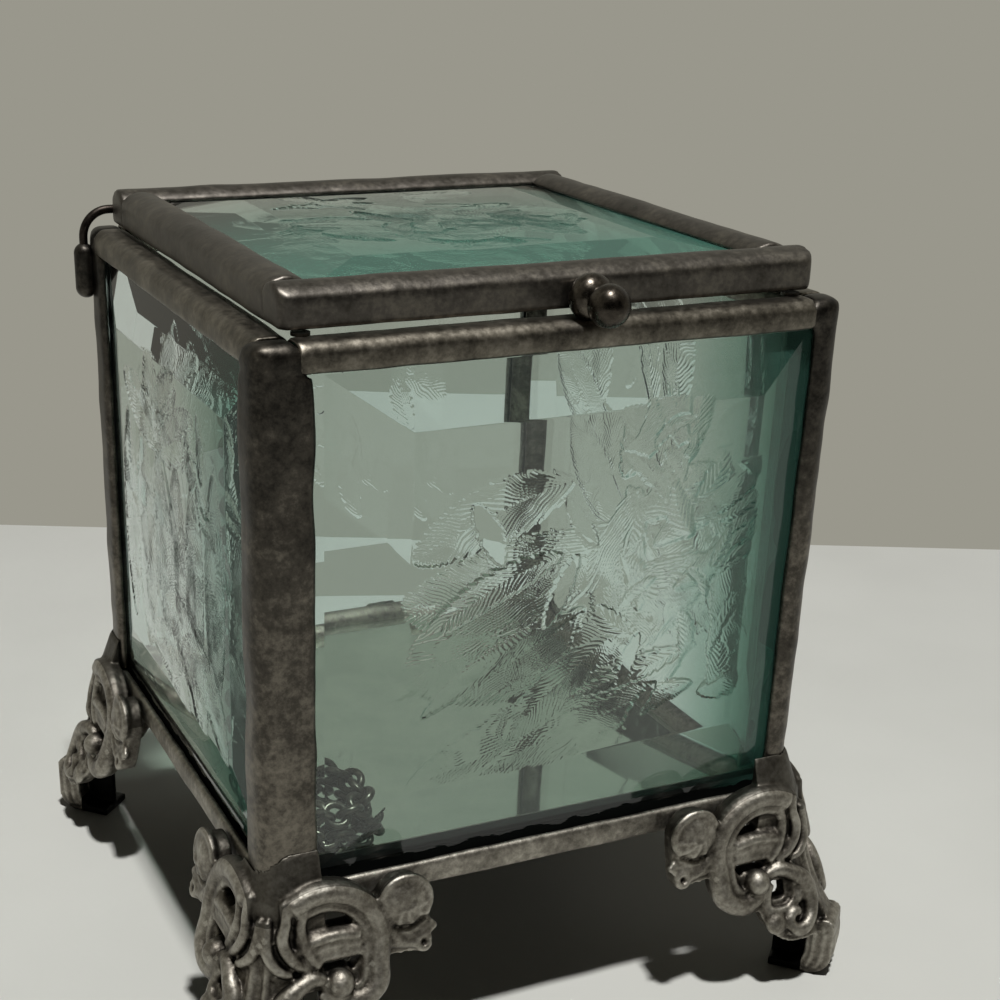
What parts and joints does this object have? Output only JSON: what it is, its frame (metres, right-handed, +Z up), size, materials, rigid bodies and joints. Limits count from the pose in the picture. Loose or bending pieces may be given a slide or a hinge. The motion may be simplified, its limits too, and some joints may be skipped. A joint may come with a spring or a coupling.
{
  "type": "glass casket box",
  "caption": "Small square keepsake casket of bevelled glass panes in soldered metal seams, with a hinged glass lid, ball knob, mirror floor and openwork scroll feet.",
  "frame": {"origin": "on the table under the middle of the box", "axes": "+Z up, -Y towards the front with the knob, +X to the right seen from the front"},
  "size_m": [0.1018, 0.1018, 0.1105],
  "materials": {
    "bevelled_glass": "clear float glass, bevelled, chipped in a fern pattern",
    "mirror_glass": "silvered",
    "patinated_solder": "dark patina on solder",
    "cast_pewter": "cast soft metal, rubbed",
    "chain_steel": "dull",
    "dark_wire": "dark patina",
    "ball_metal": "satin"
  },
  "bodies": {
    "casket": {"pane_front": "bevelled_glass", "pane_right": "bevelled_glass", "pane_rear": "bevelled_glass", "pane_left": "bevelled_glass", "mirror_floor": "mirror_glass", "post_front_left": "patinated_solder", "post_front_right": "patinated_solder", "post_rear_right": "patinated_solder", "post_rear_left": "patinated_solder", "top_rim_front": "patinated_solder", "top_rim_right": "patinated_solder", "top_rim_rear": "patinated_solder", "top_rim_left": "patinated_solder", "bottom_rim_front": "patinated_solder", "bottom_rim_right": "patinated_solder", "bottom_rim_rear": "patinated_solder", "bottom_rim_left": "patinated_solder", "inner_seam_front": "patinated_solder", "inner_seam_right": "patinated_solder", "inner_seam_rear": "patinated_solder", "inner_seam_left": "patinated_solder", "foot_front_left": "cast_pewter", "foot_front_right": "cast_pewter", "foot_rear_right": "cast_pewter", "foot_rear_left": "cast_pewter", "lid_rest_left": "patinated_solder", "lid_rest_right": "patinated_solder", "hinge_wire": "dark_wire", "hinge_solder_left": "patinated_solder", "hinge_solder_right": "patinated_solder", "stay_chain": "chain_steel", "chain_solder": "patinated_solder"},
    "lid": {"lid_pane": "bevelled_glass", "lid_came_front": "patinated_solder", "lid_came_right": "patinated_solder", "lid_came_rear": "patinated_solder", "lid_came_left": "patinated_solder", "hinge_tube": "dark_wire", "knob_collar": "patinated_solder", "knob_ball": "ball_metal"}
  },
  "joints": [
    {"name": "lid_hinge", "type": "hinge", "parent": "casket", "child": "lid", "pos_m": [0, 0.0392, 0.1061], "axis": [-1, 0, 0], "range_deg": [0, 105]}
  ]
}
